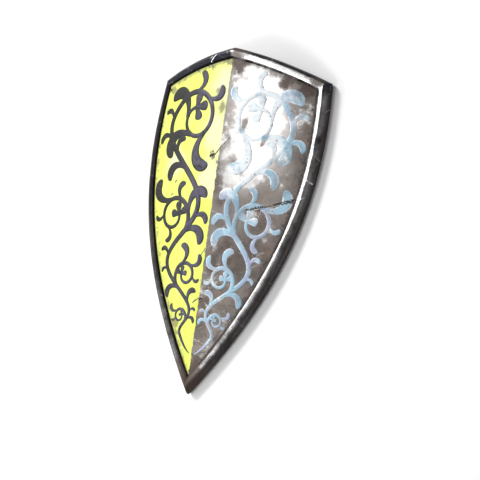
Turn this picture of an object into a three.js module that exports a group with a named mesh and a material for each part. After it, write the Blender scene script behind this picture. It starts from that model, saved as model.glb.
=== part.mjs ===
// A heater shield lying on its back, face up: a steel plate creased along its middle, held all round its
// edge by a rolled steel rim. Millimetres, +Z up out of the face, +Y from the tip towards the top edge.
import * as THREE from "three";

// Outline, seen square to the face. The tip is at y = 0 while the shape is worked out.
const HALF_WIDTH = 255; // from the ridge to a top corner
const CORNER_Y = 780; // tip to the line between the top corners
const PEAK_Y = 848; // tip to the middle of the top edge
const TOP_BOW = 7; // how far each half of the top edge bows up from a straight line
const SIDE_SWELL = [1.34, 0.6, -0.54]; // how the sides stay full below the corners, then close on the tip

// Face. All of both side edges lie in one level plane, and the ridge climbs from the tip to the top edge.
const RIDGE_RISE = 63; // ridge over that plane, at the top edge
const RIDGE_BOW = 3.5; // how far the ridge bows up between its ends
const CREASE = 0.3; // share of the cross fall that is a straight fold, the rest is a round arch
const PLATE = 2; // sheet of the body
const FACE_LIFT = 16; // face at the side edges, over the surface the shield lies on

// Rim. A 2 mm strip rolled over the plate's edge, its two lips closing on the plate.
const RIM_SHEET = 2;
const LIP_GAP = 0.3; // between each lip and the plate
const PLATE_INSET = 12; // the plate stops this far inside the outline, in the hollow of the rim
const BACK_LIP = -PLATE - LIP_GAP;
// Outside of the rim's section from the front lip, up its bevel, over the crown and round to the back lip:
// inset from the outline, height over the face, and how much of the face's own rise the point takes up.
const RIM_SECTION = [
  [28, LIP_GAP, 1],
  [16.5, 6, 1],
  [12.5, 7, 1],
  [7.5, 5.6, 1],
  [3, 1.6, 1],
  [0.7, -4, 0.5],
  [0, -8.5, 0],
  [1.2, -13.2, 0],
  [4, -FACE_LIFT, 0],
  [11, -FACE_LIFT, 0],
  [14.5, -12.5, 0.3],
  [19, BACK_LIP, 1],
];

// How finely the curves are cut.
const TOP_STEPS = 8; // along half of the top edge
const SIDE_STEPS = 34; // along one side
const PLATE_COLUMNS = 9; // from the ridge to a side edge

// The right-hand side edge, from the top corner at s = 0 to the tip at s = 1.
function sideEdge(s) {
  const swell = SIDE_SWELL.reduce((sum, amount, power) => sum + amount * s ** (power + 1), 1);
  return new THREE.Vector2(HALF_WIDTH * (1 - s) * swell, CORNER_Y * (1 - s));
}

// The right-hand half of the top edge, from the peak at s = 0 to the corner at s = 1.
function topEdge(s) {
  const straight = PEAK_Y + (CORNER_Y - PEAK_Y) * s;
  return new THREE.Vector2(HALF_WIDTH * s, straight + TOP_BOW * 4 * s * (1 - s));
}

// The point of an edge at s, moved square to the edge into the shield.
function inset(edge, s, distance) {
  const step = 1e-4;
  const along = edge(s + step).sub(edge(s - step)).normalize();
  return edge(s).add(new THREE.Vector2(along.y, -along.x).multiplyScalar(distance));
}

// Where an inset edge meets the ridge, found by halving the stretch it lies in.
function ridgeCrossing(edge, distance, low, high) {
  const lowSide = Math.sign(inset(edge, low, distance).x);
  for (let i = 0; i < 40; i++) {
    const middle = (low + high) / 2;
    if (Math.sign(inset(edge, middle, distance).x) === lowSide) low = middle;
    else high = middle;
  }
  return (low + high) / 2;
}

// Where the inset top edge and the inset side edge cross, which is the mitre at the corner.
function cornerCrossing(distance) {
  const step = 1e-4;
  let top = 1;
  let side = 0;
  for (let i = 0; i < 8; i++) {
    const gap = inset(topEdge, top, distance).sub(inset(sideEdge, side, distance));
    const t = inset(topEdge, top + step, distance).sub(inset(topEdge, top, distance)).divideScalar(step);
    const d = inset(sideEdge, side + step, distance).sub(inset(sideEdge, side, distance)).divideScalar(step);
    const det = t.cross(d);
    top -= gap.cross(d) / det;
    side += t.cross(gap) / det;
  }
  return { top, side };
}

// The right-hand half of the outline at an inset, from the ridge at the top round to the ridge at the tip.
function halfContour(distance) {
  const corner = cornerCrossing(distance);
  const peak = ridgeCrossing(topEdge, distance, -0.2, 0.5);
  const tip = ridgeCrossing(sideEdge, distance, 0.5, 1.1);
  const points = [];
  for (let i = 0; i < TOP_STEPS; i++)
    points.push(inset(topEdge, THREE.MathUtils.lerp(peak, corner.top, i / TOP_STEPS), distance));
  for (let i = 0; i <= SIDE_STEPS; i++)
    points.push(inset(sideEdge, THREE.MathUtils.lerp(corner.side, tip, i / SIDE_STEPS), distance));
  points[0].x = 0;
  points[points.length - 1].x = 0;
  return points;
}

// How far the face stands over the level plane of its side edges.
function faceRise(x, y) {
  const up = y / PEAK_Y;
  const ridge = RIDGE_RISE * up + RIDGE_BOW * 4 * up * (1 - up);
  const halfWidth = sideEdge(1 - y / CORNER_Y).x;
  const across = halfWidth > 0 ? Math.min(Math.abs(x) / halfWidth, 1.1) : 0;
  return ridge * (1 - CREASE * across - (1 - CREASE) * across ** 2);
}

function solid(vertices, triangles) {
  const geometry = new THREE.BufferGeometry();
  geometry.setAttribute("position", new THREE.Float32BufferAttribute(vertices.flat(), 3));
  geometry.setIndex(triangles.flat());
  geometry.computeVertexNormals();
  return geometry;
}

// The body: rows from the tip to the top edge, each from one side edge over the ridge to the other.
// The rows bend up more and more towards the top, so that the last one is the top edge itself.
function bodyPlate() {
  const contour = halfContour(PLATE_INSET);
  const corner = contour[TOP_STEPS];
  const topX = [];
  const topY = [];
  for (let c = 0; c <= PLATE_COLUMNS; c++) {
    const place = (c / PLATE_COLUMNS) * TOP_STEPS;
    const before = Math.min(Math.floor(place), TOP_STEPS - 1);
    const point = contour[before].clone().lerp(contour[before + 1], place - before);
    topX.push(point.x / corner.x);
    topY.push(point.y - corner.y);
  }
  const rows = [];
  for (let k = SIDE_STEPS; k >= 0; k--) {
    const edge = contour[TOP_STEPS + k];
    const bend = edge.y / corner.y;
    const row = [];
    for (let c = -PLATE_COLUMNS; c <= PLATE_COLUMNS; c++) {
      const i = Math.abs(c);
      row.push([Math.sign(c) * edge.x * topX[i], edge.y + bend * topY[i]]);
    }
    rows.push(k === SIDE_STEPS ? [[0, edge.y]] : row);
  }
  const vertices = [];
  const number = rows.map((row) =>
    row.map(([x, y]) => {
      const front = FACE_LIFT + faceRise(x, y);
      vertices.push([x, y, front], [x, y, front - PLATE]);
      return vertices.length - 2;
    }),
  );
  const triangles = [];
  const face = (a, b, c) => triangles.push([a, b, c], [a + 1, c + 1, b + 1]);
  const wall = (a, b) => triangles.push([a, a + 1, b + 1], [a, b + 1, b]);
  const last = 2 * PLATE_COLUMNS;
  const tip = number[0][0];
  for (let c = 0; c < last; c++) face(tip, number[1][c + 1], number[1][c]);
  for (let r = 1; r < SIDE_STEPS; r++) {
    const [low, high] = [number[r], number[r + 1]];
    for (let c = 0; c < last; c++) {
      face(low[c], low[c + 1], high[c + 1]);
      face(low[c], high[c + 1], high[c]);
    }
    wall(low[last], high[last]);
    wall(high[0], low[0]);
  }
  wall(tip, number[1][last]);
  wall(number[1][0], tip);
  const top = number[SIDE_STEPS];
  for (let c = 0; c < last; c++) wall(top[c + 1], top[c]);
  return solid(vertices, triangles);
}

// The closed section of the rim: its outside, then its inside one sheet further in. Both lips are cut level.
function rimSection() {
  const last = RIM_SECTION.length - 1;
  const inside = RIM_SECTION.map(([n, z, rise], i) => {
    const [n0, z0] = RIM_SECTION[Math.max(i - 1, 0)];
    const [n1, z1] = RIM_SECTION[Math.min(i + 1, last)];
    const length = Math.hypot(n1 - n0, z1 - z0);
    if (i === 0 || i === last) return [n - (RIM_SHEET * length) / (z1 - z0), z, rise];
    return [n - ((z1 - z0) / length) * RIM_SHEET, z + ((n1 - n0) / length) * RIM_SHEET, rise];
  });
  return [...RIM_SECTION, ...inside.reverse()];
}

// The rim: the section carried round the whole outline, mitred at the peak, the corners and the tip.
function rolledRim() {
  const section = rimSection();
  const outline = halfContour(0);
  const half = section.map(([distance]) => halfContour(distance));
  const stations = 2 * (TOP_STEPS + SIDE_STEPS);
  const vertices = [];
  for (let i = 0; i < stations; i++) {
    const k = Math.min(i, stations - i);
    const side = i <= stations / 2 ? 1 : -1;
    const edgeRise = faceRise(outline[k].x, outline[k].y);
    section.forEach(([, height, rise], j) => {
      const { x, y } = half[j][k];
      const lifted = FACE_LIFT + edgeRise + rise * (faceRise(x, y) - edgeRise) + height;
      vertices.push([side * x, y, lifted]);
    });
  }
  const triangles = [];
  const count = section.length;
  for (let i = 0; i < stations; i++) {
    const next = (i + 1) % stations;
    for (let j = 0; j < count; j++) {
      const [a, b] = [i * count + j, i * count + ((j + 1) % count)];
      const [c, d] = [next * count + j, next * count + ((j + 1) % count)];
      triangles.push([a, d, b], [a, c, d]);
    }
  }
  return solid(vertices, triangles);
}

function piece(name, geometry, color, roughness, metalness) {
  const mesh = new THREE.Mesh(geometry, new THREE.MeshStandardMaterial({ color, roughness, metalness }));
  mesh.name = name;
  return mesh;
}

// The origin goes under the middle of the shield, on the surface it lies on.
const shield = new THREE.Group();
shield.position.y = -PEAK_Y / 2;
shield.add(piece("body_plate", bodyPlate(), 0x8c8279, 0.45, 0.7));
shield.add(piece("rolled_rim", rolledRim(), 0x4a4644, 0.4, 0.9));

const part = new THREE.Group();
part.add(shield);

export default part;
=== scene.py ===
import math

import bpy
import numpy as np
from mathutils import Matrix, Vector, noise


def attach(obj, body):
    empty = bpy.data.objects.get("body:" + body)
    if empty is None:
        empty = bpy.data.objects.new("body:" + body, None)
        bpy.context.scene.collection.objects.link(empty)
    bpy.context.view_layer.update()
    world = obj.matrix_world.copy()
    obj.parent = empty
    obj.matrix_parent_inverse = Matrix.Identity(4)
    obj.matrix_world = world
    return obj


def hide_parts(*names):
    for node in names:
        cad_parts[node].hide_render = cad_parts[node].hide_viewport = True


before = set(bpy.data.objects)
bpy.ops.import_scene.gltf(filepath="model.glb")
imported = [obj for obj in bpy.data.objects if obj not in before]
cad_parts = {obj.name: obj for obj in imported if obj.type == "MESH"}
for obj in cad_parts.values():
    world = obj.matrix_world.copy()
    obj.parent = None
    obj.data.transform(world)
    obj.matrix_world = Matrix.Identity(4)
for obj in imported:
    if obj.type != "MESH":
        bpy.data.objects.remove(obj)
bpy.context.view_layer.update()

# Body plate. One steel sheet, beaten into two arched halves that meet in a crease down the middle.
# The left half is painted yellow, the right half is bare and worn; the rim holds the edge all round.
# Lengths are millimetres from the tip (y) and from the ridge (x) until a mesh is written.
MM = 0.001
HALF_WIDTH = 255.0
CORNER_Y = 780.0
PEAK_Y = 848.0
TOP_BOW = 7.0
SIDE_SWELL = (1.34, 0.6, -0.54)
RIDGE_RISE = 63.0
RIDGE_BOW = 3.5
CREASE = 0.3
PLATE = 2.0
FACE_LIFT = 16.0
PLATE_INSET = 12.0
RIM_WIDTH = 28.0
ROW_PITCH = 2.5
GASH_ROW_PITCH = 1.0
GASH_ROWS = (424.0, 508.0)
PLATE_COLUMNS = 100
BACK_STEP = 5
DENT_SIZES = ((95.0, 0.55), (34.0, 0.16))
GASH = ((92.0, 455.0), (165.0, 474.0), (238.0, 501.0))
GASH_WIDTH = 1.7
GASH_DEPTH = 1.3
FACE_SCORES = (
    ((-32.0, 561.0), (30.0, 633.0), 1.6, 0.5),
    ((-30.0, 578.0), (-12.0, 585.0), 4.0, 0.9),
    ((-17.0, 329.0), (1.0, 357.0), 1.5, 0.45),
    ((-20.0, 219.0), (-4.0, 231.0), 1.8, 0.6),
    ((-4.0, 231.0), (12.0, 235.0), 1.8, 0.6),
    ((-99.0, 781.0), (-89.0, 803.0), 1.6, 0.4),
    ((-142.0, 508.0), (-134.0, 516.0), 2.2, 0.6),
    ((-149.0, 475.0), (-143.0, 483.0), 2.2, 0.6),
    ((120.0, 300.0), (150.0, 372.0), 1.5, 0.3),
    ((60.0, 655.0), (128.0, 618.0), 1.5, 0.3),
)
FACE_STAINS = (
    (-27.0, 736.0, 16.0),
    (-70.0, 166.0, 15.0),
    (-22.0, 580.0, 9.0),
    (-12.0, 700.0, 14.0),
    (-212.0, 748.0, 16.0),
    (-165.0, 778.0, 13.0),
    (-60.0, 805.0, 12.0),
    (-8.0, 812.0, 12.0),
)
# Painted highlight over real rubbing: these patches turn the bare half's colour near white where it mirrors
# the soft box; the gaps break it up.
FACE_POLISH_HIGHLIGHT = ((75.0, 745.0, 66.0), (105.0, 670.0, 76.0), (95.0, 590.0, 66.0), (65.0, 545.0, 44.0))
POLISH_HIGHLIGHT_DEPTH = 0.78
FACE_HIGHLIGHT_GAPS = (
    (62.0, 668.0, 12.0),
    (58.0, 646.0, 13.0),
    (122.0, 632.0, 10.0),
    (115.0, 616.0, 9.0),
    (46.0, 566.0, 12.0),
)
# Paler yellow, mostly by the upper ridge: thinner paint and a painted sheen.
FACE_PALER_SHEEN = ((-8.0, 760.0, 55.0), (-10.0, 640.0, 60.0), (-20.0, 520.0, 50.0), (-150.0, 560.0, 40.0))
FACE_RUST = ((25.0, 806.0, 30.0), (205.0, 762.0, 30.0), (8.0, 62.0, 48.0), (150.0, 770.0, 18.0))
TORN_DEPTH = 0.5
CUT_RUN_OUT = 3.0
# Widths by the rim: chipped paint with darkening there, and a painted shade line along the rim's foot, wider
# under the top edge.
WEAR_AND_SHADE_BY_RIM = 30.0
SHADE_AT_FOOT = 5.5
SHADE_UNDER_TOP = 6.0
TOP_SHADE_FROM = 60.0
BEATING_FROM = (2.0, 40.0)


def side_edge(s):
    swell = 1 + sum(amount * s ** (power + 1) for power, amount in enumerate(SIDE_SWELL))
    return np.stack([HALF_WIDTH * (1 - s) * swell, CORNER_Y * (1 - s)], -1)


def top_edge(s):
    straight = PEAK_Y + (CORNER_Y - PEAK_Y) * s
    return np.stack([HALF_WIDTH * s, straight + TOP_BOW * 4 * s * (1 - s)], -1)


def inset(edge, s, distance):
    """The points of an edge at s, moved square to the edge into the shield."""
    s = np.asarray(s, float)
    step = 1e-4
    along = edge(s + step) - edge(s - step)
    along /= np.linalg.norm(along, axis=-1, keepdims=True)
    return edge(s) + distance * np.stack([along[..., 1], -along[..., 0]], -1)


def ridge_crossing(edge, distance, low, high):
    """Where an inset edge meets the ridge."""
    low_side = np.sign(inset(edge, low, distance)[0])
    for _ in range(40):
        middle = (low + high) / 2
        if np.sign(inset(edge, middle, distance)[0]) == low_side:
            low = middle
        else:
            high = middle
    return (low + high) / 2


def corner_crossing(distance):
    """Where the inset top edge and the inset side edge cross: the mitre at the corner."""
    step = 1e-4
    top, side = 1.0, 0.0
    for _ in range(8):
        gap = inset(top_edge, top, distance) - inset(side_edge, side, distance)
        along_top = (inset(top_edge, top + step, distance) - inset(top_edge, top, distance)) / step
        along_side = (inset(side_edge, side + step, distance) - inset(side_edge, side, distance)) / step
        moved = np.linalg.solve(np.stack([along_top, -along_side], -1), gap)
        top -= moved[0]
        side -= moved[1]
    return top, side


def half_contour(distance, top_shares, side_shares):
    """The right half of the outline at an inset: its top from the ridge, then its side from the corner."""
    top_corner, side_corner = corner_crossing(distance)
    peak = ridge_crossing(top_edge, distance, -0.2, 0.5)
    tip = ridge_crossing(side_edge, distance, 0.5, 1.1)
    top = inset(top_edge, peak + (top_corner - peak) * np.asarray(top_shares), distance)
    side = inset(side_edge, side_corner + (tip - side_corner) * np.asarray(side_shares), distance)
    return top, side


def face_rise(x, y):
    """How far the face stands over the level plane of its side edges."""
    up = y / PEAK_Y
    ridge = RIDGE_RISE * up + RIDGE_BOW * 4 * up * (1 - up)
    half_width = np.maximum(side_edge(1 - y / CORNER_Y)[..., 0], 1e-6)
    across = np.minimum(np.abs(x) / half_width, 1.1)
    return ridge * (1 - CREASE * across - (1 - CREASE) * across**2)


def from_outline(x, y):
    """Distance into the shield from its outline."""
    step = 1.0
    half_width = side_edge(1 - y / CORNER_Y)[..., 0]
    lean = (side_edge(1 - (y + step) / CORNER_Y)[..., 0] - half_width) / step
    from_side = (half_width - np.abs(x)) / np.sqrt(1 + lean**2)
    share = np.abs(x) / HALF_WIDTH
    fall = (top_edge(share + step / HALF_WIDTH)[..., 1] - top_edge(share)[..., 1]) / step
    from_top = (top_edge(share)[..., 1] - y) / np.sqrt(1 + fall**2)
    return np.minimum(from_side, from_top)


def cloud(x, y, size, layer):
    """Smooth noise between about -1 and 1 at each point."""
    return np.array([noise.noise(Vector((a / size, b / size, layer))) for a, b in zip(x, y)])


def ease(value, low, high):
    share = np.clip((value - low) / (high - low), 0, 1)
    return share * share * (3 - 2 * share)


def face_height(x, y):
    """The face with its beaten hollows and swellings, over the surface the shield lies on."""
    beaten = sum(depth * cloud(x, y, size, 3.7) for size, depth in DENT_SIZES)
    return FACE_LIFT + face_rise(x, y) + beaten * ease(from_outline(x, y) - RIM_WIDTH, *BEATING_FROM)


def beside_line(x, y, start, end):
    """Share along a line and distance from it."""
    run_x, run_y = end[0] - start[0], end[1] - start[1]
    share = np.clip(((x - start[0]) * run_x + (y - start[1]) * run_y) / (run_x**2 + run_y**2), 0, 1)
    return share, np.hypot(x - start[0] - share * run_x, y - start[1] - share * run_y)


def score(x, y, start, end, width, depth, ends=6.0):
    """A line cut by a blade: a groove that runs out at its ends, with the metal thrown up beside it."""
    share, away = beside_line(x, y, start, end)
    strength = np.clip(ends * np.minimum(share, 1 - share) + 0.15, 0, 1)
    groove = -depth * np.exp(-((away / width) ** 2))
    lips = 0.35 * depth * np.exp(-(((away - 2 * width) / width) ** 2))
    return strength * (groove + lips)


def gash_cut(x, y):
    """The long sword cut across the bare half, which breaks its line once."""
    first = score(x, y, GASH[0], GASH[1], GASH_WIDTH, GASH_DEPTH, 3.0)
    second = score(x, y, GASH[1], GASH[2], GASH_WIDTH, GASH_DEPTH, 9.0)
    return np.where(np.abs(first) > 0.02, first, second)


def spots(x, y, places):
    """Soft round patches, 1 in their middles."""
    return np.clip(sum(np.exp(-((x - px) ** 2 + (y - py) ** 2) / size**2) for px, py, size in places), 0, 1)


def polish_highlight_depth(x, y):
    """How bright the bare half is made, by rubbing and by a painted highlight where it mirrors the light,
    with a few dull islands left.
    """
    return POLISH_HIGHLIGHT_DEPTH * (spots(x, y, FACE_POLISH_HIGHLIGHT) - spots(x, y, FACE_HIGHLIGHT_GAPS))


def write_mesh(name, points, faces, values=None):
    """A mesh in metres in the shared frame, smooth shaded, with one value per point for each named mask."""
    placed = np.array(points, float)
    placed[:, 1] -= PEAK_Y / 2
    mesh = bpy.data.meshes.new(name)
    mesh.from_pydata((placed * MM).tolist(), [], faces)
    for mask, numbers in (values or {}).items():
        stored = mesh.attributes.new(mask, "FLOAT", "POINT")
        stored.data.foreach_set("value", np.asarray(numbers, np.float32))
    mesh.polygons.foreach_set("use_smooth", np.ones(len(mesh.polygons), bool))
    mesh.update()
    piece = bpy.data.objects.new(name, mesh)
    bpy.context.scene.collection.objects.link(piece)
    return piece


def row_places():
    """Shares down the side edge for the plate's rows, close together where the gash crosses them."""
    fine = np.linspace(0, 1, 4001)
    height = CORNER_Y * (1 - fine)
    pitch = np.where((height > GASH_ROWS[0]) & (height < GASH_ROWS[1]), GASH_ROW_PITCH, ROW_PITCH)
    counted = np.concatenate([[0], np.cumsum(CORNER_Y / 4000 / pitch[1:])])
    rows = BACK_STEP * round(counted[-1] / BACK_STEP)
    return np.interp(np.linspace(0, counted[-1], rows + 1), counted, fine)


def body_plate():
    columns = np.arange(-PLATE_COLUMNS, PLATE_COLUMNS + 1)
    top, side = half_contour(PLATE_INSET, np.abs(columns) / PLATE_COLUMNS, row_places())
    side = side[::-1]
    corner = side[-1]
    shape_x = np.sign(columns) * top[:, 0] / corner[0]
    shape_y = top[:, 1] - corner[1]
    x = side[:, :1] * shape_x
    y = side[:, 1:] + side[:, 1:] / corner[1] * shape_y
    wide = len(columns)
    flat_x, flat_y = x.ravel(), y.ravel()
    inside = from_outline(flat_x, flat_y)
    cut = gash_cut(flat_x, flat_y)
    for start, end, width, depth in FACE_SCORES:
        cut += score(flat_x, flat_y, start, end, width, depth)
    cut *= ease(inside, RIM_WIDTH, RIM_WIDTH + CUT_RUN_OUT)
    front = np.stack([flat_x, flat_y, face_height(flat_x, flat_y) + cut], -1)
    rows = len(side) - 1
    coarse_x, coarse_y = x[::BACK_STEP, ::BACK_STEP].ravel(), y[::BACK_STEP, ::BACK_STEP].ravel()
    back = np.stack([coarse_x, coarse_y, face_height(coarse_x, coarse_y) - PLATE], -1)
    back_wide = (wide - 1) // BACK_STEP + 1
    back_rows = rows // BACK_STEP
    first_back = len(front)

    def front_at(r, c):
        return 0 if r == 0 else r * wide + c

    def back_at(r, c):
        return first_back + (0 if r == 0 else r * back_wide + c)

    faces = []
    for r in range(rows):
        for c in range(wide - 1):
            ring = [front_at(r, c), front_at(r, c + 1), front_at(r + 1, c + 1), front_at(r + 1, c)]
            faces.append(list(dict.fromkeys(ring)))
    front_faces = len(faces)
    for r in range(back_rows):
        for c in range(back_wide - 1):
            ring = [back_at(r, c), back_at(r + 1, c), back_at(r + 1, c + 1), back_at(r, c + 1)]
            faces.append(list(dict.fromkeys(ring)))
    for r in range(back_rows):
        steps = range(r * BACK_STEP, (r + 1) * BACK_STEP + 1)
        right = [front_at(k, wide - 1) for k in reversed(steps)]
        left = [front_at(k, 0) for k in steps]
        faces.append(right + [back_at(r, back_wide - 1), back_at(r + 1, back_wide - 1)])
        faces.append(left + [back_at(r + 1, 0), back_at(r, 0)])
    for c in range(back_wide - 1):
        steps = range(c * BACK_STEP, (c + 1) * BACK_STEP + 1)
        top = [front_at(rows, k) for k in steps]
        faces.append(top + [back_at(back_rows, c + 1), back_at(back_rows, c)])
    points = np.concatenate([front, back])
    # The foot mask is painted shade: a dark line along the rim's inner edge, wider under the top, where the
    # rim's shadow falls.
    shade_width = SHADE_AT_FOOT + SHADE_UNDER_TOP * ease(flat_y, CORNER_Y - TOP_SHADE_FROM, CORNER_Y)
    masks = {
        "torn": np.clip(np.abs(cut) / TORN_DEPTH, 0, 1),
        "by_rim": 1 - ease(inside, RIM_WIDTH, RIM_WIDTH + WEAR_AND_SHADE_BY_RIM),
        "stain": spots(flat_x, flat_y, FACE_STAINS),
        "rust": spots(flat_x, flat_y, FACE_RUST),
        "foot": 1 - ease(inside - RIM_WIDTH, 0.5, shade_width),
        "polish_highlight": polish_highlight_depth(flat_x, flat_y),
        "paler": spots(flat_x, flat_y, FACE_PALER_SHEEN),
    }
    masks = {mask: np.concatenate([value, np.zeros(len(back))]) for mask, value in masks.items()}
    used = np.ones(len(points), bool)
    used[1:wide] = False
    used[first_back + 1:first_back + back_wide] = False
    number = np.cumsum(used) - 1
    faces = [[int(number[v]) for v in face] for face in faces]
    piece = write_mesh("plate", points[used], faces, {mask: value[used] for mask, value in masks.items()})
    on_back = np.zeros(len(faces), np.int32)
    on_back[front_faces:] = 1
    return piece, on_back


def node(tree, kind, inputs=None, **settings):
    """One shader node with its settings, its inputs given as values or as other nodes' sockets."""
    made = tree.nodes.new("ShaderNode" + kind)
    for name, value in settings.items():
        setattr(made, name, value)
    for name, value in (inputs or {}).items():
        if isinstance(value, bpy.types.NodeSocket):
            tree.links.new(value, made.inputs[name])
        else:
            made.inputs[name].default_value = value
    return made


def maths(tree, operation, first, second=0.0):
    return node(tree, "Math", {0: first, 1: second}, operation=operation).outputs[0]


def mix_colour(tree, share, first, second):
    return node(tree, "Mix", {0: share, 6: first, 7: second}, data_type="RGBA").outputs[2]


def mix_value(tree, share, first, second):
    return node(tree, "Mix", {0: share, 2: first, 3: second}, data_type="FLOAT").outputs[0]


def fade(tree, value, low, high):
    """0 at low, 1 at high, eased between."""
    inputs = {"Value": value, "From Min": low, "From Max": high}
    return node(tree, "MapRange", inputs, interpolation_type="SMOOTHSTEP").outputs[0]


def mottle(tree, place, scale, detail=4.0, rough=0.6):
    inputs = {"Vector": place, "Scale": scale, "Detail": detail, "Roughness": rough}
    return node(tree, "TexNoise", inputs).outputs["Fac"]


def mask_of(tree, name):
    return node(tree, "Attribute", attribute_name=name).outputs["Fac"]


def new_effect(name, inputs, outputs):
    """A shader group with its named sockets: (tree, input sockets, output sockets)."""
    tree = bpy.data.node_groups.new(name, "ShaderNodeTree")
    for socket, kind in inputs.items():
        tree.interface.new_socket(socket, in_out="INPUT", socket_type="NodeSocket" + kind)
    for socket, kind in outputs.items():
        tree.interface.new_socket(socket, in_out="OUTPUT", socket_type="NodeSocket" + kind)
    return tree, tree.nodes.new("NodeGroupInput").outputs, tree.nodes.new("NodeGroupOutput").inputs


def effect(tree, group, inputs):
    return node(tree, "Group", inputs, node_tree=group).outputs


SCRATCHES = ((0.5, 0.12, 0.0035), (1.25, 0.09, 0.0028), (2.3, 0.15, 0.004), (2.9, 0.07, 0.003))


def scratch_effect():
    """Fine scratches in several directions, each broken into short runs."""
    tree, given, result = new_effect("scratches", {"Place": "Vector", "Amount": "Float"}, {"Mask": "Float"})
    total = None
    for turn, length, width in SCRATCHES:
        inputs = {"Vector": given["Place"], "Rotation": (0, 0, turn), "Scale": (length, width, length)}
        turned = node(tree, "Mapping", inputs, vector_type="TEXTURE").outputs[0]
        line = maths(tree, "ABSOLUTE", maths(tree, "SUBTRACT", mottle(tree, turned, 1.0, 1.0, 0.5), 0.5))
        thin = fade(tree, line, 0.03, 0.004)
        least = maths(tree, "SUBTRACT", 0.75, given["Amount"])
        runs = fade(tree, mottle(tree, turned, 0.45, 2.0), least, 0.78)
        stroke = maths(tree, "MULTIPLY", thin, runs)
        total = stroke if total is None else maths(tree, "MAXIMUM", total, stroke)
    tree.links.new(total, result["Mask"])
    return tree


def steel_effect():
    """Worn steel: blotches between a dark and a bright tone, fine grain, and the pitting of old metal."""
    tree, given, result = new_effect(
        "worn_steel",
        {"Place": "Vector", "Dark": "Color", "Bright": "Color"},
        {"Color": "Color", "Roughness": "Float", "Height": "Float"},
    )
    blotch = fade(tree, mottle(tree, given["Place"], 12.0, 6.0, 0.6), 0.38, 0.64)
    grain = mottle(tree, given["Place"], 190.0, 3.0, 0.6)
    pits = fade(tree, mottle(tree, given["Place"], 420.0, 2.0, 0.5), 0.66, 0.74)
    tone = maths(tree, "ADD", maths(tree, "MULTIPLY", blotch, 0.8), maths(tree, "MULTIPLY", grain, 0.25))
    colour = mix_colour(tree, tone, given["Dark"], given["Bright"])
    colour = mix_colour(tree, maths(tree, "MULTIPLY", pits, 0.3), colour, given["Dark"])
    tree.links.new(colour, result["Color"])
    smooth = maths(tree, "SUBTRACT", 0.5, maths(tree, "MULTIPLY", blotch, 0.24))
    rough = maths(tree, "ADD", smooth, maths(tree, "MULTIPLY", maths(tree, "SUBTRACT", grain, 0.5), 0.1))
    tree.links.new(rough, result["Roughness"])
    beaten = mottle(tree, given["Place"], 34.0, 3.0)
    height = maths(tree, "ADD", beaten, maths(tree, "MULTIPLY", grain, 0.08))
    height = maths(tree, "SUBTRACT", height, maths(tree, "MULTIPLY", pits, 0.1))
    tree.links.new(height, result["Height"])
    return tree


def grime_and_shade_effect():
    """Specks that gather where a mask calls for them and thin out: dirt, rust, and the painted shade by the
    rim.
    """
    tree, given, result = new_effect("grime_and_shade", {"Place": "Vector", "Where": "Float"}, {"Mask": "Float"})
    speck = mottle(tree, given["Place"], 55.0, 6.0, 0.7)
    reached = maths(tree, "ADD", speck, maths(tree, "MULTIPLY", given["Where"], 0.42))
    tree.links.new(fade(tree, reached, 0.62, 0.86), result["Mask"])
    return tree


POLISH_HIGHLIGHT_NOISE = (19.0, 8.0, 0.66)


def polish_highlight_effect():
    """Where the metal is made bright, rubbed and with a painted highlight: whole inside the mask, in ragged
    islands round it.
    """
    inputs = {"Place": "Vector", "Where": "Float", "From": "Float", "To": "Float"}
    tree, given, result = new_effect("polish_highlight", inputs, {"Mask": "Float"})
    ragged = maths(tree, "SUBTRACT", mottle(tree, given["Place"], *POLISH_HIGHLIGHT_NOISE), 0.5)
    reached = maths(tree, "ADD", given["Where"], maths(tree, "MULTIPLY", ragged, 3.0))
    tree.links.new(fade(tree, reached, given["From"], given["To"]), result["Mask"])
    return tree


def new_material(name):
    """A material with only its shader: (material, tree, shader, object coordinates)."""
    material = bpy.data.materials.new(name)
    material.use_nodes = True
    tree = material.node_tree
    shader = tree.nodes["Principled BSDF"]
    return material, tree, shader, node(tree, "TexCoord").outputs["Object"]


def connect(tree, shader, **sockets):
    for name, socket in sockets.items():
        tree.links.new(socket, shader.inputs[name.replace("_", " ")])


scratches = scratch_effect()
worn_steel = steel_effect()
grime_and_shade = grime_and_shade_effect()
polish_highlight = polish_highlight_effect()

YELLOW = (0.69, 0.80, 0.085, 1)
PALE_YELLOW = (0.74, 0.82, 0.20, 1)
WORN_YELLOW = (0.76, 0.79, 0.42, 1)
OLIVE = (0.16, 0.13, 0.05, 1)
STEEL_DARK = (0.15, 0.131, 0.119, 1)
STEEL_WARM = (0.22, 0.172, 0.152, 1)
STEEL_BRIGHT = (0.27, 0.245, 0.225, 1)
RUBBED_HIGHLIGHT_STEEL = (0.42, 0.395, 0.385, 1)
POLISH_HIGHLIGHT_STEEL = (0.70, 0.685, 0.67, 1)
FRESH_STEEL = (0.82, 0.81, 0.79, 1)
RUST = (0.072, 0.042, 0.031, 1)
BLACK_STEEL = (0.035, 0.032, 0.03, 1)
BACK_STEEL = (0.075, 0.067, 0.061, 1)
PAINT_RAGGED = 0.012
PAINT_EDGE = 0.0006


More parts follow.
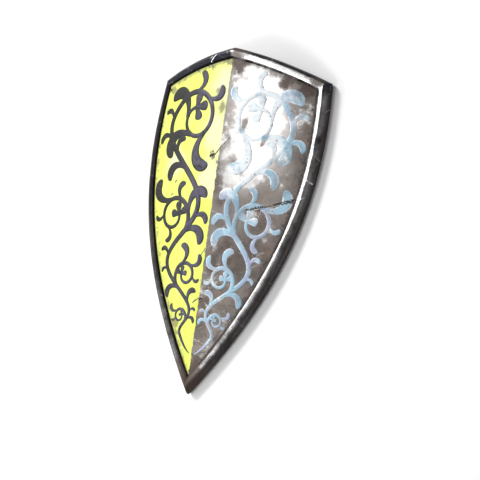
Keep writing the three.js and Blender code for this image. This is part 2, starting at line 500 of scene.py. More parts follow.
def face_material():
    material, tree, shader, place = new_material("face_paint_and_steel")
    x = node(tree, "SeparateXYZ", {0: place}).outputs["X"]
    steel = effect(tree, worn_steel, {"Place": place, "Dark": STEEL_DARK, "Bright": STEEL_BRIGHT})
    # The polish mask is rubbed steel and a painted highlight: near-white colour where the bare half mirrors
    # the light.
    where = mask_of(tree, "polish_highlight")
    uneven = maths(tree, "SUBTRACT", mottle(tree, place, *POLISH_HIGHLIGHT_NOISE), 0.5)
    wear_and_highlight = fade(tree, maths(tree, "ADD", where, maths(tree, "MULTIPLY", uneven, 0.8)), 0.02, 0.5)
    polish_highlighted = effect(tree, polish_highlight, {"Place": place, "Where": where, "From": 0.27, "To": 0.62})["Mask"]
    scratch = effect(tree, scratches, {"Place": place, "Amount": 0.16})["Mask"]
    ragged = maths(tree, "SUBTRACT", mottle(tree, place, 70.0, 5.0, 0.7), 0.5)
    ragged = maths(tree, "MULTIPLY", ragged, PAINT_RAGGED)
    painted = fade(tree, maths(tree, "ADD", x, ragged), PAINT_EDGE, -PAINT_EDGE)
    by_ridge = fade(tree, maths(tree, "ABSOLUTE", x), 0.02, 0.0)
    wearing = maths(tree, "MAXIMUM", by_ridge, mask_of(tree, "by_rim"))
    wearing = maths(tree, "MULTIPLY", wearing, 0.075)
    chipped = fade(tree, maths(tree, "ADD", mottle(tree, place, 46.0, 8.0, 0.75), wearing), 0.665, 0.69)
    torn = fade(tree, maths(tree, "ADD", mask_of(tree, "torn"), mottle(tree, place, 160.0)), 0.85, 1.05)
    lost = maths(tree, "MAXIMUM", chipped, torn)
    kept = maths(tree, "MULTIPLY", painted, maths(tree, "SUBTRACT", 1.0, lost))
    brushed = node(tree, "Mapping", {"Vector": place, "Scale": (1.0, 0.16, 1.0)}).outputs[0]
    streaks = fade(tree, mottle(tree, brushed, 60.0, 5.0), 0.42, 0.66)
    yellow = mix_colour(tree, maths(tree, "MULTIPLY", streaks, 0.6), YELLOW, PALE_YELLOW)
    # Thin paint and a painted sheen turn the yellow paler in mottles and near the upper ridge.
    thin = maths(tree, "SUBTRACT", mottle(tree, place, 20.0, 6.0), 0.5)
    thin = maths(tree, "ADD", mask_of(tree, "paler"), thin)
    yellow = mix_colour(tree, fade(tree, thin, 0.15, 0.95), yellow, WORN_YELLOW)
    dirt_and_shade = effect(tree, grime_and_shade, {"Place": place, "Where": mask_of(tree, "stain")})["Mask"]
    # Painted shade mixed with real dirt: darkening by the rim and a dark line at its foot, besides the
    # stains.
    by_rim = maths(tree, "MULTIPLY", mask_of(tree, "by_rim"), 0.55)
    dirt_and_shade = maths(tree, "MAXIMUM", dirt_and_shade, effect(tree, grime_and_shade, {"Place": place, "Where": by_rim})["Mask"])
    dirt_and_shade = maths(tree, "MAXIMUM", dirt_and_shade, maths(tree, "MULTIPLY", mask_of(tree, "foot"), 0.9))
    yellow = mix_colour(tree, maths(tree, "MULTIPLY", dirt_and_shade, 0.8), yellow, OLIVE)
    yellow = mix_colour(tree, maths(tree, "MULTIPLY", scratch, 0.35), yellow, OLIVE)
    warm = fade(tree, mottle(tree, place, 15.0, 3.0), 0.45, 0.7)
    bare = mix_colour(tree, warm, steel["Color"], STEEL_WARM)
    # Rubbed steel and a painted highlight: the bare half is lightened, then turned near white inside the
    # bloom.
    bare = mix_colour(tree, maths(tree, "MULTIPLY", wear_and_highlight, 0.7), bare, RUBBED_HIGHLIGHT_STEEL)
    clouds = maths(tree, "MULTIPLY", fade(tree, mottle(tree, place, 36.0, 7.0, 0.7), 0.5, 0.7), 0.65)
    polish_highlighted = maths(tree, "MULTIPLY", polish_highlighted, maths(tree, "SUBTRACT", 1.0, clouds))
    bare = mix_colour(tree, polish_highlighted, bare, POLISH_HIGHLIGHT_STEEL)
    bare = mix_colour(tree, maths(tree, "MULTIPLY", scratch, 0.45), bare, FRESH_STEEL)
    bare = mix_colour(tree, maths(tree, "MULTIPLY", dirt_and_shade, 0.7), bare, BLACK_STEEL)
    # Painted shade: the cuts are coloured near black along their grooves.
    bare = mix_colour(tree, maths(tree, "MULTIPLY", torn, 0.75), bare, BLACK_STEEL)
    rusty = effect(tree, grime_and_shade, {"Place": place, "Where": mask_of(tree, "rust")})["Mask"]
    rusty = maths(tree, "MULTIPLY", rusty, fade(tree, mask_of(tree, "rust"), 0.05, 0.5))
    bare = mix_colour(tree, maths(tree, "MULTIPLY", rusty, 0.85), bare, RUST)
    connect(tree, shader, Base_Color=mix_colour(tree, kept, bare, yellow))
    metal = maths(tree, "SUBTRACT", 1.0, maths(tree, "MULTIPLY", rusty, 0.8))
    connect(tree, shader, Metallic=mix_value(tree, kept, metal, 0.0))
    paint_rough = maths(tree, "ADD", 0.38, maths(tree, "MULTIPLY", mottle(tree, place, 80.0), 0.25))
    bare_rough = mix_value(tree, wear_and_highlight, steel["Roughness"], 0.3)
    bare_rough = maths(tree, "ADD", bare_rough, maths(tree, "MULTIPLY", rusty, 0.3))
    connect(tree, shader, Roughness=mix_value(tree, kept, bare_rough, paint_rough))
    film = maths(tree, "MULTIPLY", kept, 0.35)
    height = maths(tree, "ADD", maths(tree, "MULTIPLY", steel["Height"], 0.8), film)
    height = maths(tree, "SUBTRACT", height, maths(tree, "MULTIPLY", scratch, 0.25))
    bump = node(tree, "Bump", {"Height": height, "Strength": 0.42, "Distance": 0.0008})
    connect(tree, shader, Normal=bump.outputs[0])
    return material


def back_material():
    material, tree, shader, place = new_material("forged_back")
    steel = effect(tree, worn_steel, {"Place": place, "Dark": BACK_STEEL, "Bright": STEEL_DARK})
    scratch = effect(tree, scratches, {"Place": place, "Amount": 0.12})["Mask"]
    connect(tree, shader, Base_Color=mix_colour(tree, scratch, steel["Color"], STEEL_BRIGHT))
    connect(tree, shader, Roughness=steel["Roughness"])
    shader.inputs["Metallic"].default_value = 0.9
    bump = node(tree, "Bump", {"Height": steel["Height"], "Strength": 0.7, "Distance": 0.0015})
    connect(tree, shader, Normal=bump.outputs[0])
    return material


plate, back_numbers = body_plate()
plate.data.materials.append(face_material())
plate.data.materials.append(back_material())
plate.data.polygons.foreach_set("material_index", back_numbers)
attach(plate, "root")
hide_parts("body_plate")

# Vine scrolls. A raised stem climbs each half in waves, with curled shoots in its bends and crozier leaves.
# It is chased up out of the sheet and painted: near black on the yellow half, pale blue on the bare half.
STEM_FOOT = 138.0
STEM_HEAD = 716.0
RIDGE_MARGIN = 13.0
RIM_MARGIN = 37.0
WAVE_LENGTH = 0.95
WAVE_SWING = 0.33
STEM_HALF_WIDTHS = (4.6, 8.4)
SHOOT_HALF_WIDTH = 7.6
LEAST_SHOOT_ROOM = 48.0
LEAF_LENGTH = 0.58
LEAF_SPACING = 0.24
LEAF_WIDTH = 0.14
LEAF_NECK = 0.45
LEAF_TURN = 0.3
LEAF_BEND = 3.0
LEAF_GAP = 4.0
LEAF_VEIN = 0.45
SHOOT_FROM = 0.12
SHOOT_TURN = 0.3
SHOOT_RADIUS = 0.35
HEAD_RADIUS = 0.37
CURL_TURN = 2.2 * math.pi
CURL_TIGHTENING = 0.14
CURL_TAPER = 0.4
EYE_LOBES = ((-1.1, 0.17), (0.0, 0.2), (1.1, 0.17))
LOBE_BEND = 0.4
LOBE_WIDTH = 0.062
TAIL_LENGTH = 58.0
TAIL_BEND = -0.5
SHEEN_REACH = (40.0, 170.0)
RELIEF = 1.3
SINK = 0.8
STROKE_STEP = 1.6
ACROSS = np.array([-1.0, -0.86, -0.5, 0.0, 0.5, 0.86, 1.0])


def free_width(y):
    """Room between the margins by the ridge and by the rim."""
    here = side_edge(1 - y / CORNER_Y)[..., 0]
    lean = here - side_edge(1 - (y + 1) / CORNER_Y)[..., 0]
    return here - RIM_MARGIN * np.sqrt(1 + lean**2) - RIDGE_MARGIN


def stem_wave():
    """The stem from foot to head, its place in the wave at each point and the room it has there."""
    y = np.arange(STEM_FOOT, STEM_HEAD, STROKE_STEP / 2)
    room = free_width(y)
    phase = np.cumsum(math.pi / (WAVE_LENGTH * room)) * STROKE_STEP / 2
    phase += math.pi * (math.ceil(phase[-1] / math.pi) - 0.2) - phase[-1]
    x = RIDGE_MARGIN + room * (0.5 + WAVE_SWING * np.sin(phase))
    return np.stack([x, y], -1), phase, room


def curl(start, heading, radius, sense):
    """A path that bends ever tighter from a start and a heading, and its heading at the end."""
    points = [np.array(start, float)]
    turned = 0.0
    while turned < CURL_TURN:
        bend = STROKE_STEP / (radius * math.exp(-CURL_TIGHTENING * turned))
        heading += sense * bend
        turned += bend
        points.append(points[-1] + STROKE_STEP * np.array([math.cos(heading), math.sin(heading)]))
    return np.array(points), heading


def leaf_stroke(base, heading, length, bend, half_width):
    """A leaf like a crozier: it leaves its base slim, bends ever more and ends in a round head."""
    share = np.sin(np.linspace(0, math.pi / 2, max(int(length / STROKE_STEP) + 4, 12)))
    headings = heading + bend * share**1.8
    steps = np.diff(share)[:, None] * length * np.stack([np.cos(headings), np.sin(headings)], -1)[:-1]
    path = np.concatenate([[base], base + np.cumsum(steps, 0)])
    slim = LEAF_NECK + (1 - LEAF_NECK) * ease(share, 0.1, 0.72)
    round_end = np.sqrt(np.clip(1 - np.clip((share - 0.78) / 0.22, 0, 1) ** 2, 0.0, 1))
    return path, np.maximum(half_width * slim * round_end, 0.25), LEAF_VEIN


def heading_at(points, i):
    run = points[min(i + 2, len(points) - 1)] - points[max(i - 2, 0)]
    return math.atan2(run[1], run[0])


def nearest(points, others):
    if not len(others):
        return math.inf
    return np.linalg.norm(points[:, None] - others[None], axis=-1).min()


def grow_leaf(strokes, stems, leaves, base, heading, length, bend):
    """A leaf, cut back until it clears the ridge, the rim, the stems and the other leaves, or left out."""
    for cut_back in np.arange(1.0, 0.4, -0.08):
        size = cut_back * length
        half_width = LEAF_WIDTH * size
        grown = leaf_stroke(base, heading, size, bend, half_width)
        outer = grown[0][len(grown[0]) // 3:]
        far_stems = stems[np.linalg.norm(stems - base, axis=1) > 0.75 * size]
        clear = (
            outer[:, 0].min() > half_width + LEAF_GAP
            and from_outline(outer[:, 0], outer[:, 1]).min() > RIM_WIDTH + half_width
            and nearest(outer, far_stems) > half_width + 3 * LEAF_GAP
            and nearest(outer, leaves) > half_width + 3 * LEAF_GAP
        )
        if clear:
            strokes.append(grown)
            return np.concatenate([leaves, outer])
    return leaves


def vine_strokes():
    """Every stroke of one half as (path, half widths, depth of the middle vein)."""
    stem, phase, room = stem_wave()
    share = np.linspace(0, 1, len(stem))
    swelling = STEM_HALF_WIDTHS[0] + (STEM_HALF_WIDTHS[1] - STEM_HALF_WIDTHS[0]) * ease(share, 0, 0.6)
    bays = range(math.floor(phase[0] / math.pi), math.ceil(phase[-1] / math.pi))
    strokes = [(stem, swelling, 0.0)]
    runs = [(stem, room, (1, -1))]
    eyes = []
    for bay in bays:
        sense = 1 if bay % 2 == 0 else -1
        last = bay == bays[-1]
        first = len(stem) - 1 if last else np.searchsorted(phase, (bay + SHOOT_FROM) * math.pi)
        width = room[first]
        if first == 0 or width < LEAST_SHOOT_ROOM:
            continue
        radius = HEAD_RADIUS if last else SHOOT_RADIUS
        heading = heading_at(stem, first) + (0.0 if last else SHOOT_TURN * sense)
        path, eye = curl(stem[first], heading, radius * width, sense)
        thick = STEM_HALF_WIDTHS[1] if last else SHOOT_HALF_WIDTH * min(1.0, 0.3 + width / 220)
        strokes.append((path, thick * (1 - CURL_TAPER * np.linspace(0, 1, len(path))), 0.0))
        runs.append((path, np.full(len(path), width), (-sense,)))
        eyes.append((path[-1], eye, width))
    tail, _, _ = leaf_stroke(stem[0], heading_at(stem, 0) + math.pi, TAIL_LENGTH, TAIL_BEND, 1.0)
    strokes.append((tail, STEM_HALF_WIDTHS[0] * np.linspace(1, 0.1, len(tail)), 0.0))
    stems = np.concatenate([path for path, _, _ in runs])
    leaves = np.empty((0, 2))
    for end, eye, width in eyes:
        for turn, length in EYE_LOBES:
            lobe = leaf_stroke(end, eye + turn, length * width, LOBE_BEND * turn, LOBE_WIDTH * width)
            strokes.append(lobe)
            leaves = np.concatenate([leaves, lobe[0]])
    for path, widths, sides in runs[::-1]:
        travelled = 0.0
        for i in range(2, len(path) - 6):
            travelled += np.linalg.norm(path[i] - path[i - 1])
            if travelled < LEAF_SPACING * widths[i]:
                continue
            travelled = 0.0
            for side in sides:
                heading = heading_at(path, i) + side * LEAF_TURN
                length = LEAF_LENGTH * widths[i]
                leaves = grow_leaf(strokes, stems, leaves, path[i], heading, length, side * LEAF_BEND)
    return strokes


def scroll_mesh(name, side):
    """All strokes of one half as raised, rounded bodies that follow the face."""
    points, faces, crowns, edges = [], [], [], []
    for path, half_widths, vein in vine_strokes():
        run = np.gradient(path, axis=0)
        run /= np.maximum(np.linalg.norm(run, axis=1, keepdims=True), 1e-9)
        square = np.stack([-run[:, 1], run[:, 0]], -1)
        spread = path[:, None] + square[:, None] * (half_widths[:, None] * ACROSS)[..., None]
        under = path[:, None] + square[:, None] * (half_widths[:, None] * np.array([0.9, -0.9]))[..., None]
        flat = np.concatenate([spread, under], 1)
        dome = (1 - ACROSS**2) ** 0.6 - vein * np.exp(-((ACROSS / 0.3) ** 2))
        slim = np.clip(half_widths / 3.5, 0.2, 1)[:, None]
        lift = np.concatenate([RELIEF * slim * dome - 0.12, np.full((len(path), 2), -SINK)], 1)
        x = side * flat[..., 0].ravel()
        y = flat[..., 1].ravel()
        z = face_height(x, y) + lift.ravel() + np.where(lift.ravel() > -SINK, gash_cut(x, y), 0.0)
        first = sum(len(p) for p in points)
        count = flat.shape[1]
        points.append(np.stack([x, y, z], -1))
        crowns.append(np.tile(np.concatenate([1 - ACROSS**2, [0, 0]]), len(path)))
        edges.append(np.tile(np.concatenate([np.abs(ACROSS) > 0.7, [0, 0]]), len(path)))
        made = []
        for i in range(len(path) - 1):
            for j in range(count):
                k = (j + 1) % count
                low, high = first + i * count, first + (i + 1) * count
                made.append([low + j, high + j, high + k, low + k])
        made.append([first + j for j in range(count)])
        made.append([first + (len(path) - 1) * count + j for j in reversed(range(count))])
        faces.extend(made if side > 0 else [face[::-1] for face in made])
    made = np.concatenate(points)
    masks = {
        "crown": np.concatenate(crowns),
        "edge": np.concatenate(edges),
        "inward": 1 - ease(np.abs(made[:, 0]), *SHEEN_REACH),
        "torn": np.clip(np.abs(gash_cut(made[:, 0], made[:, 1])) / TORN_DEPTH, 0, 1),
        "polish_highlight": polish_highlight_depth(made[:, 0], made[:, 1]),
    }
    return write_mesh(name, made, faces, masks)


DARK_INK = (0.013, 0.012, 0.011, 1)
DARK_SHEEN = (0.075, 0.066, 0.105, 1)
PALE_BLUE = (0.35, 0.56, 0.70, 1)
WORN_BLUE = (0.22, 0.32, 0.40, 1)
LILAC = (0.38, 0.42, 0.60, 1)
WHITE_BLUE = (0.80, 0.86, 0.90, 1)


def dark_scroll_material():
    material, tree, shader, place = new_material("scroll_near_black")
    scratch = effect(tree, scratches, {"Place": place, "Amount": 0.2})["Mask"]
    # Painted sheen: the crowns of the strokes near the ridge are given a lighter purple-grey colour, as if
    # catching the light.
    wear_and_highlight = maths(tree, "MULTIPLY", fade(tree, mask_of(tree, "crown"), 0.1, 0.8), mask_of(tree, "inward"))
    wear_and_highlight = maths(tree, "MULTIPLY", wear_and_highlight, fade(tree, mottle(tree, place, 38.0, 6.0, 0.7), 0.3, 0.55))
    colour = mix_colour(tree, maths(tree, "MULTIPLY", wear_and_highlight, 0.9), DARK_INK, DARK_SHEEN)
    colour = mix_colour(tree, maths(tree, "MULTIPLY", scratch, 0.5), colour, STEEL_BRIGHT)
    connect(tree, shader, Base_Color=colour)
    connect(tree, shader, Metallic=maths(tree, "MULTIPLY", wear_and_highlight, 0.5))
    connect(tree, shader, Roughness=maths(tree, "SUBTRACT", 0.55, maths(tree, "MULTIPLY", wear_and_highlight, 0.2)))
    shader.inputs["Specular IOR Level"].default_value = 0.22
    height = maths(tree, "SUBTRACT", mottle(tree, place, 120.0, 4.0), maths(tree, "MULTIPLY", scratch, 0.4))
    bump = node(tree, "Bump", {"Height": height, "Strength": 0.5, "Distance": 0.0006})
    connect(tree, shader, Normal=bump.outputs[0])
    return material


def pale_scroll_material():
    material, tree, shader, place = new_material("scroll_pale_blue")
    scratch = effect(tree, scratches, {"Place": place, "Amount": 0.25})["Mask"]
    steel = effect(tree, worn_steel, {"Place": place, "Dark": STEEL_DARK, "Bright": STEEL_BRIGHT})
    paler = fade(tree, mottle(tree, place, 16.0, 6.0, 0.65), 0.36, 0.6)
    colour = mix_colour(tree, paler, WORN_BLUE, PALE_BLUE)
    colour = mix_colour(tree, fade(tree, mottle(tree, place, 11.0, 3.0), 0.52, 0.72), colour, LILAC)
    # Painted highlight: the pale scroll turns near white where the bare half's bloom of reflected light
    # falls.
    where = mask_of(tree, "polish_highlight")
    painted_bloom = effect(tree, polish_highlight, {"Place": place, "Where": where, "From": 0.12, "To": 0.7})["Mask"]
    colour = mix_colour(tree, painted_bloom, colour, WHITE_BLUE)
    thin = maths(tree, "MULTIPLY", fade(tree, mottle(tree, place, 21.0, 5.0), 0.5, 0.68), 0.4)
    colour = mix_colour(tree, thin, colour, STEEL_BRIGHT)
    # Worn paint and a painted highlight: the edges of the raised strokes are whitened in patches, as if
    # catching the light.
    wear_and_highlight = fade(tree, mottle(tree, place, 30.0), 0.45, 0.6)
    wear_and_highlight = maths(tree, "MULTIPLY", mask_of(tree, "edge"), wear_and_highlight)
    colour = mix_colour(tree, maths(tree, "MULTIPLY", wear_and_highlight, 0.8), colour, WHITE_BLUE)
    bare = fade(tree, mottle(tree, place, 62.0, 8.0, 0.75), 0.58, 0.63)
    bare = maths(tree, "MAXIMUM", bare, maths(tree, "MULTIPLY", scratch, 0.7))
    # Painted shade: the gash is coloured near black where it crosses the scroll.
    torn = fade(tree, mask_of(tree, "torn"), 0.3, 0.8)
    colour = mix_colour(tree, bare, colour, steel["Color"])
    connect(tree, shader, Base_Color=mix_colour(tree, torn, colour, BLACK_STEEL))
    connect(tree, shader, Metallic=maths(tree, "MULTIPLY", bare, 0.95))
    connect(tree, shader, Roughness=mix_value(tree, bare, 0.42, steel["Roughness"]))
    height = maths(tree, "SUBTRACT", mottle(tree, place, 120.0, 4.0), maths(tree, "MULTIPLY", bare, 0.5))
    bump = node(tree, "Bump", {"Height": height, "Strength": 0.5, "Distance": 0.0006})
    connect(tree, shader, Normal=bump.outputs[0])
    return material


for name, side, material in (
    ("scroll_left", -1, dark_scroll_material()),
    ("scroll_right", 1, pale_scroll_material()),
):
    scroll = scroll_mesh(name, side)
    scroll.data.materials.append(material)
    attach(scroll, "root")

# Rolled rim. One steel strip folded over the plate's edge, with a bevel to the face, a rounded crown and a
# return lip at the back, mitred at the tip, the peak and the corners. It is dark steel with some wear,
# with painted highlights on the bevel and crown of its right side, and its left side painted darker as shade.
RIM_SHEET = 2.0
LIP_GAP = 0.3
BACK_LIP = -PLATE - LIP_GAP
RIM_SECTION = np.array([
    [28.0, LIP_GAP, 1],
    [16.5, 6.0, 1],
    [12.5, 7.0, 1],
    [7.5, 5.6, 1],
    [3.0, 1.6, 1],
    [0.7, -4.0, 0.5],
    [0.0, -8.5, 0],
    [1.2, -13.2, 0],
    [4.0, -FACE_LIFT, 0],
    [11.0, -FACE_LIFT, 0],
    [14.5, -12.5, 0.3],
    [19.0, BACK_LIP, 1],
])
TOP_STATIONS = 190
SIDE_STATIONS = 420
BEVEL_ENDS = (20.0, 27.0)
TOP_BEVEL_START = 7.0
SIDE_BEVEL_STARTS = (11.5, 16.5)
SIDE_CROWNS = ((8.0, 4.0), (13.0, 6.0))
BROAD_BEVEL_FROM = (320.0, 480.0)
TIP_HIGHLIGHT_RANGE = (110.0, 280.0)
BLACK_TIP = (20.0, 90.0)
SLATE_CORNER = (55.0, 10.0)
RIGHT_SIDE = (-20.0, 20.0)
CORNER_WEAR = 60.0
NICK_DEPTH = 0.7
LEFT_SHINE = 0.04
TIP_SHINE = 0.35
RIM_DENTS = ((26.0, 0.45), (8.0, 0.14))
RIM_NICKS = (
    ((237.0, 546.0), (257.0, 537.0), 1.7, 1.5),
    ((-52.0, 831.0), (-77.0, 808.0), 1.2, 0.8),
    ((230.0, 497.0), (246.0, 503.0), 1.6, 1.0),
    ((186.0, 270.0), (204.0, 258.0), 2.0, 1.0),
)
RIM_RUST = ((0.0, 30.0, 75.0), (20.0, 835.0, 30.0), (226.0, 776.0, 20.0))


def rounded(points):
    """Corners cut twice, so that the section's bends are round; both lips stay where they are."""
    for _ in range(2):
        near = 0.8 * points[:-1] + 0.2 * points[1:]
        far = 0.2 * points[:-1] + 0.8 * points[1:]
        cut = np.stack([near, far], 1).reshape(-1, points.shape[1])
        points = np.concatenate([points[:1], cut[1:-1], points[-1:]])
    return points


def rim_inside():
    """The inner wall of the strip, from the back lip to the front lip."""
    run = np.gradient(RIM_SECTION[:, :2], axis=0)
    run /= np.linalg.norm(run, axis=1, keepdims=True)
    inside = RIM_SECTION.copy()
    inside[:, 0] -= run[:, 1] * RIM_SHEET
    inside[:, 1] += run[:, 0] * RIM_SHEET
    for lip in (0, -1):
        inside[lip, :2] = RIM_SECTION[lip, :2] - (RIM_SHEET / run[lip, 1], 0.0)
    return inside[::-1]


def rolled_rim():
    outside = rounded(RIM_SECTION)
    section = np.concatenate([outside, rim_inside()])
    shown = len(outside)
    top_shares = np.arange(TOP_STATIONS) / TOP_STATIONS
    side_shares = np.arange(SIDE_STATIONS + 1) / SIDE_STATIONS
    half = np.stack([np.concatenate(half_contour(n, top_shares, side_shares)) for n in section[:, 0]], 1)
    half[[0, -1], :, 0] = 0.0
    outline = np.concatenate(half_contour(0.0, top_shares, side_shares))
    edge_rise = face_rise(outline[:, 0], outline[:, 1])[:, None]
    rise = edge_rise + section[:, 2] * (face_rise(half[..., 0], half[..., 1]) - edge_rise)
    z = FACE_LIFT + rise + section[:, 1]
    x = np.concatenate([half[..., 0], -half[-2:0:-1, :, 0]])
    y = np.concatenate([half[..., 1], half[-2:0:-1, :, 1]])
    z = np.concatenate([z, z[-2:0:-1]])
    stations, count = x.shape
    flat_x, flat_y = x.ravel(), y.ravel()
    faces_up = np.tile(ease(section[:, 1], -9.0, 2.0), (stations, 1))
    faces_up[:, shown:] = 0
    faces_up *= np.where(section[:, 0] > 27.5, 0.0, 1.0)
    beaten = sum(depth * cloud(flat_x, flat_y, size, 8.2) for size, depth in RIM_DENTS)
    nicked = sum(score(flat_x, flat_y, *nick) for nick in RIM_NICKS)
    z += faces_up * (beaten + nicked).reshape(z.shape)
    faces = []
    for i in range(stations):
        for j in range(count):
            k = (j + 1) % count
            low, high = i * count, (i + 1) % stations * count
            faces.append([low + j, high + j, high + k, low + k])
    # Painted highlight: the bevel band is given near-white colour on the right side, dimmer toward the tip,
    # with a faint line on the left near the tip.
    bevel_end = BEVEL_ENDS[0] + (BEVEL_ENDS[1] - BEVEL_ENDS[0]) * y / CORNER_Y
    station = np.arange(stations)
    on_top = np.minimum(station, stations - station) < TOP_STATIONS
    from_edge = section[:, 0]
    on_front = section[:, 1] > 0
    low_side = 1 - ease(y, *BROAD_BEVEL_FROM)
    side_start = SIDE_BEVEL_STARTS[0] + (SIDE_BEVEL_STARTS[1] - SIDE_BEVEL_STARTS[0]) * low_side
    bevel_start = np.where(on_top[:, None], TOP_BEVEL_START, side_start)
    bevel = ease(from_edge - bevel_start, 0.0, 4.5) * (1 - ease(from_edge - bevel_end, -2.5, 2.5)) * on_front
    # Painted highlight: the crown band is given a light grey shine, strongest on the right side and little on
    # the top edge.
    (middle, spread), (low_middle, low_spread) = SIDE_CROWNS
    middle = middle + (low_middle - middle) * low_side
    spread = spread + (low_spread - spread) * low_side
    crown = np.exp(-(((from_edge - middle) / spread) ** 2)) * on_front
    corner_wear = sum(
        np.exp(-((np.abs(flat_x) - px) ** 2 + (flat_y - py) ** 2) / CORNER_WEAR**2)
        for px, py in ((0, 0), (0, PEAK_Y), (HALF_WIDTH, CORNER_Y))
    )
    on_right = ease(flat_x, *RIGHT_SIDE)
    near_tip = 1 - ease(flat_y, *TIP_HIGHLIGHT_RANGE)
    left_shine = LEFT_SHINE + TIP_SHINE * near_tip
    bright_side = (left_shine + (1 - left_shine) * on_right) * ease(flat_y, *BLACK_TIP)
    slate = ease(flat_y, CORNER_Y - SLATE_CORNER[0], CORNER_Y - SLATE_CORNER[1])
    slate = np.maximum(np.repeat(on_top, count), slate)
    values = {
        "bevel": bevel.ravel() * bright_side,
        "crown": crown.ravel() * (0.1 + 0.9 * bright_side) * (1 - 0.85 * slate),
        "nicked": np.clip(-nicked / NICK_DEPTH, 0, 1) * faces_up.ravel(),
        "rust": spots(flat_x, flat_y, RIM_RUST),
        "worn": np.clip(corner_wear, 0, 1),
        "dimmed_highlight": near_tip,
        "slate": slate,
        # Right side 1, left side 0.2: more scratches on the right, and the left painted darker as shade.
        "lit_side_and_handled": 0.2 + 0.8 * on_right,
    }
    return write_mesh("rim", np.stack([flat_x, flat_y, z.ravel()], -1), faces, values)


RIM_DARK = (0.040, 0.034, 0.032, 1)
RIM_MIDDLE = (0.064, 0.058, 0.055, 1)
RIM_SHINE = (0.40, 0.388, 0.395, 1)
RIM_BRIGHT = (0.80, 0.79, 0.78, 1)
RIM_DIM_HIGHLIGHT = (0.15, 0.142, 0.135, 1)
RIM_SLATE = (0.0175, 0.018, 0.0235, 1)
RIM_BLACK = (0.013, 0.012, 0.0115, 1)


def rim_material():
    material, tree, shader, place = new_material("rim_dark_steel")
    steel = effect(tree, worn_steel, {"Place": place, "Dark": RIM_DARK, "Bright": RIM_MIDDLE})
    scratch = effect(tree, scratches, {"Place": place, "Amount": 0.14})["Mask"]
    scratch = maths(tree, "MULTIPLY", scratch, mask_of(tree, "lit_side_and_handled"))
    patchy = mottle(tree, place, 26.0, 6.0, 0.7)
    shine = maths(tree, "MULTIPLY", mask_of(tree, "crown"), fade(tree, patchy, 0.25, 0.6))
    # Painted shade: the left side of the rim is given near-black colour where it lies away from the light.
    body = mix_colour(tree, mask_of(tree, "lit_side_and_handled"), RIM_BLACK, steel["Color"])
    body = mix_colour(tree, mask_of(tree, "slate"), body, RIM_SLATE)
    body = mix_colour(tree, shine, body, RIM_SHINE)
    # Wear and a painted highlight: the bevel and worn corners turn near white, greyer near the tip.
    wear_and_highlight = maths(tree, "ADD", mask_of(tree, "bevel"), maths(tree, "MULTIPLY", mask_of(tree, "worn"), 0.12))
    ragged = maths(tree, "MULTIPLY", maths(tree, "SUBTRACT", patchy, 0.5), 2.4)
    bright = fade(tree, maths(tree, "ADD", wear_and_highlight, ragged), 0.3, 0.85)
    bright = maths(tree, "MAXIMUM", bright, maths(tree, "MULTIPLY", scratch, 0.6))
    bright = maths(tree, "MAXIMUM", bright, fade(tree, mask_of(tree, "nicked"), 0.3, 0.9))
    worn_highlight_steel = mix_colour(tree, mask_of(tree, "dimmed_highlight"), RIM_BRIGHT, RIM_DIM_HIGHLIGHT)
    colour = mix_colour(tree, bright, body, worn_highlight_steel)
    rusty = effect(tree, grime_and_shade, {"Place": place, "Where": mask_of(tree, "rust")})["Mask"]
    rusty = maths(tree, "MULTIPLY", rusty, fade(tree, mask_of(tree, "rust"), 0.1, 0.6))
    connect(tree, shader, Base_Color=mix_colour(tree, maths(tree, "MULTIPLY", rusty, 0.8), colour, RUST))
    connect(tree, shader, Metallic=maths(tree, "SUBTRACT", 1.0, maths(tree, "MULTIPLY", rusty, 0.75)))
    rough = mix_value(tree, bright, steel["Roughness"], 0.3)
    connect(tree, shader, Roughness=maths(tree, "ADD", rough, maths(tree, "MULTIPLY", rusty, 0.3)))
    height = maths(tree, "SUBTRACT", steel["Height"], maths(tree, "MULTIPLY", scratch, 0.4))
    bump = node(tree, "Bump", {"Height": height, "Strength": 0.6, "Distance": 0.0009})
    connect(tree, shader, Normal=bump.outputs[0])
    return material


rim = rolled_rim()
rim.data.materials.append(rim_material())
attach(rim, "root")
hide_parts("rolled_rim")

# Floor. A broad pale matt board that the shield lies on.
# It is plain painted wood, there for the picture only.
FLOOR_SIZE = 14.0
FLOOR_PALE = (0.92, 0.92, 0.92, 1)
FLOOR_ROUGHNESS = 0.9
floor_mesh = bpy.data.meshes.new("floor")
edge = FLOOR_SIZE / 2
floor_corners = [(-edge, -edge, 0), (edge, -edge, 0), (edge, edge, 0), (-edge, edge, 0)]
floor_mesh.from_pydata(floor_corners, [], [(0, 1, 2, 3)])
floor = bpy.data.objects.new("floor", floor_mesh)
bpy.context.scene.collection.objects.link(floor)
floor_matt = bpy.data.materials.new("floor_matt")
floor_matt.use_nodes = True
floor_shader = floor_matt.node_tree.nodes["Principled BSDF"]
floor_shader.inputs["Base Color"].default_value = FLOOR_PALE
floor_shader.inputs["Roughness"].default_value = FLOOR_ROUGHNESS
floor_mesh.materials.append(floor_matt)

# Studio light. A soft box over the far end of the shield, which the bare half mirrors near its top, a small
# one over the tip for the top bevel, a low strip on the left for the side bevels and the sheen of the paint,
# a soft key from the upper left, and an even pale surround.
SOFT_BOX = ((-0.62, 0.54, 2.2), (1.05, 0.62), 8.0)
TIP_BOX = ((-1.0, -1.35, 2.2), (0.8, 0.7), 20.0)
TIP_BOX_AIM = (0.1, 0.4, 0)
STRIP = ((-2.4, -0.3, 1.5), (3.0, 0.8), 36.0)
KEY_FROM = (-0.7, 0.5, 0.55)
KEY_STRENGTH = 2.6
KEY_ANGLE = math.radians(12)
SURROUND = 0.3


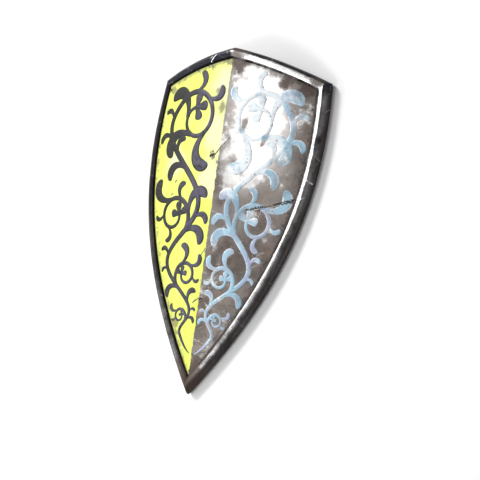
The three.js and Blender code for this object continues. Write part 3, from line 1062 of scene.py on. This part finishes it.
def soft_light(name, place, size, power, aim):
    lamp = bpy.data.lights.new(name, "AREA")
    lamp.shape = "RECTANGLE"
    lamp.size, lamp.size_y = size
    lamp.energy = power
    light = bpy.data.objects.new(name, lamp)
    light.location = place
    light.rotation_euler = (Vector(aim) - Vector(place)).to_track_quat("-Z", "Y").to_euler()
    bpy.context.scene.collection.objects.link(light)


soft_light("soft_box", *SOFT_BOX, (SOFT_BOX[0][0], SOFT_BOX[0][1] + 1e-4, 0))
soft_light("tip_box", *TIP_BOX, TIP_BOX_AIM)
soft_light("strip", *STRIP, (0, STRIP[0][1], 0))
key_lamp = bpy.data.lights.new("key", "SUN")
key_lamp.energy = KEY_STRENGTH
key_lamp.angle = KEY_ANGLE
key = bpy.data.objects.new("key", key_lamp)
key.rotation_euler = Vector(KEY_FROM).to_track_quat("Z", "Y").to_euler()
bpy.context.scene.collection.objects.link(key)
surround = bpy.data.worlds.new("surround")
surround.use_nodes = True
surround.node_tree.nodes["Background"].inputs["Color"].default_value = (1, 1, 1, 1)
surround.node_tree.nodes["Background"].inputs["Strength"].default_value = SURROUND
bpy.context.scene.world = surround

# Camera. It looks down on the lying shield from its right, turned so that the tip points down the picture.
# Place, view and lens come from fitting the shield's outline to the photograph.
CAMERA_PLACE = Vector((1.851, -0.260, 2.277))
CAMERA_VIEW = Vector((-0.61562, 0.07761, -0.78421))
PICTURE_UP = Vector((-0.09725, 0.98005, 0.17334))
CAMERA_LENS = 90.0
CAMERA_SENSOR = 36.0
camera_data = bpy.data.cameras.new("camera")
camera_data.sensor_width = CAMERA_SENSOR
camera_data.lens = CAMERA_LENS
camera = bpy.data.objects.new("camera", camera_data)
right = CAMERA_VIEW.cross(PICTURE_UP).normalized()
up = right.cross(CAMERA_VIEW).normalized()
turned = Matrix((right, up, -CAMERA_VIEW.normalized())).transposed().to_4x4()
camera.matrix_world = Matrix.Translation(CAMERA_PLACE) @ turned
bpy.context.scene.collection.objects.link(camera)
bpy.context.scene.camera = camera
bpy.context.scene.view_settings.view_transform = "Standard"
